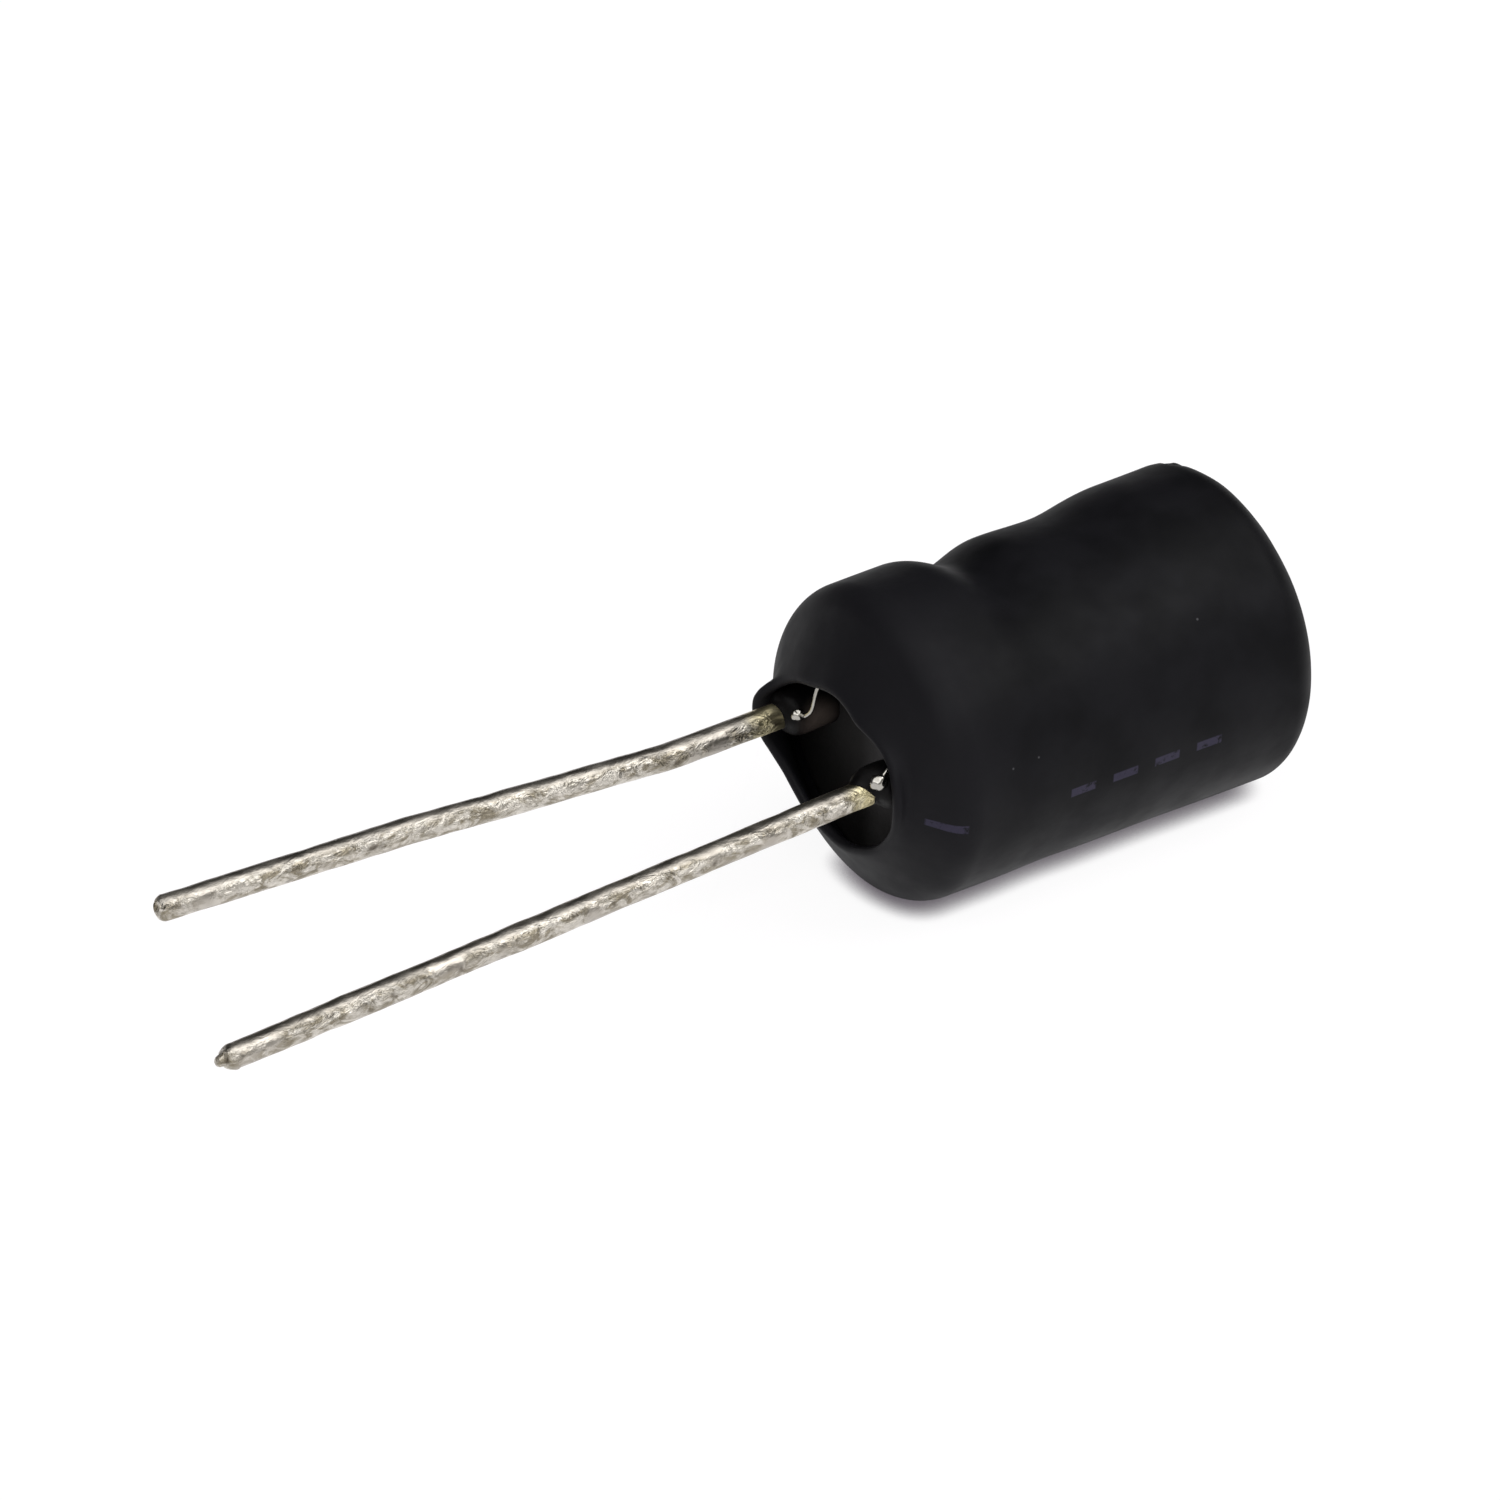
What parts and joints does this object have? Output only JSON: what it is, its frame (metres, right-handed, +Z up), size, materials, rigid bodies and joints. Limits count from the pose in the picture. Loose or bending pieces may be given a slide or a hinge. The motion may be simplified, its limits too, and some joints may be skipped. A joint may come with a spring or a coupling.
{
  "type": "inductor",
  "caption": "Radial-leaded drum-core inductor in a black heat-shrink sleeve, waisted over its winding, with long tinned leads that splay slightly apart.",
  "frame": {"origin": "on the surface it lies on, under the middle of its overall box", "axes": "+X along the body's axis from the lead tips towards the closed end, +Y to the back lead's side, +Z up"},
  "size_m": [0.0392, 0.0096, 0.0097],
  "materials": {
    "ferrite": "matte",
    "copper_wire": "gloss",
    "tinned_lead": "satin",
    "solder": "gloss",
    "adhesive": "satin",
    "sleeve": "satin"
  },
  "bodies": {
    "root": {"drum_core": "ferrite", "winding": "copper_wire", "lead_front": "tinned_lead", "lead_back": "tinned_lead", "solder_front": "solder", "solder_back": "solder", "adhesive_front": "adhesive", "adhesive_back": "adhesive", "sleeve": "sleeve"}
  },
  "joints": []
}
